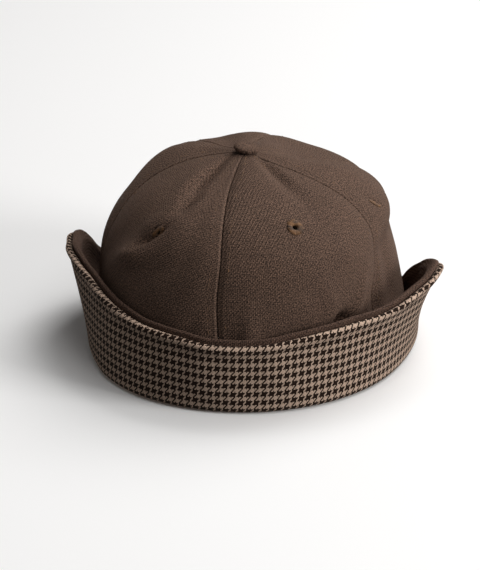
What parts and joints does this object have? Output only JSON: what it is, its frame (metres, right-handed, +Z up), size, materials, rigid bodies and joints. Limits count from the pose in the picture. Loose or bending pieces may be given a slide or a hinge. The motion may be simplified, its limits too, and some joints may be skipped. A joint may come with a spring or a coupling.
{
  "type": "docker cap",
  "caption": "Brimless docker cap: a dome of sewn wool panels with a covered button and embroidered eyelets, and a checked ear flap turned up all round as a flared cuff.",
  "frame": {"origin": "middle of the rim on the surface that the cap rests on", "axes": "+Z up through the crown, -Y to the front, +X to the right of someone facing the cap"},
  "size_m": [0.2102, 0.215, 0.1099],
  "materials": {
    "crown_wool": "dark brown wool cloth with a fine plain grain and brown topstitching beside the seams",
    "facing_wool": "the same dark brown wool as a facing, rolled over its top edge",
    "checked_wool": "woven houndstooth wool in light taupe and very dark brown",
    "eyelet_thread": "tan embroidery thread, lightly glossy"
  },
  "bodies": {
    "root": {"crown_panel_front_right": "crown_wool", "crown_panel_side_right": "crown_wool", "crown_panel_back_right": "crown_wool", "crown_panel_back_left": "crown_wool", "crown_panel_side_left": "crown_wool", "crown_panel_front_left": "crown_wool", "eyelet_front_right": "eyelet_thread", "eyelet_side_right": "eyelet_thread", "eyelet_back_right": "eyelet_thread", "eyelet_back_left": "eyelet_thread", "eyelet_side_left": "eyelet_thread", "eyelet_front_left": "eyelet_thread", "top_button": "crown_wool", "cuff_facing": "facing_wool", "cuff_band": "checked_wool"}
  },
  "joints": []
}
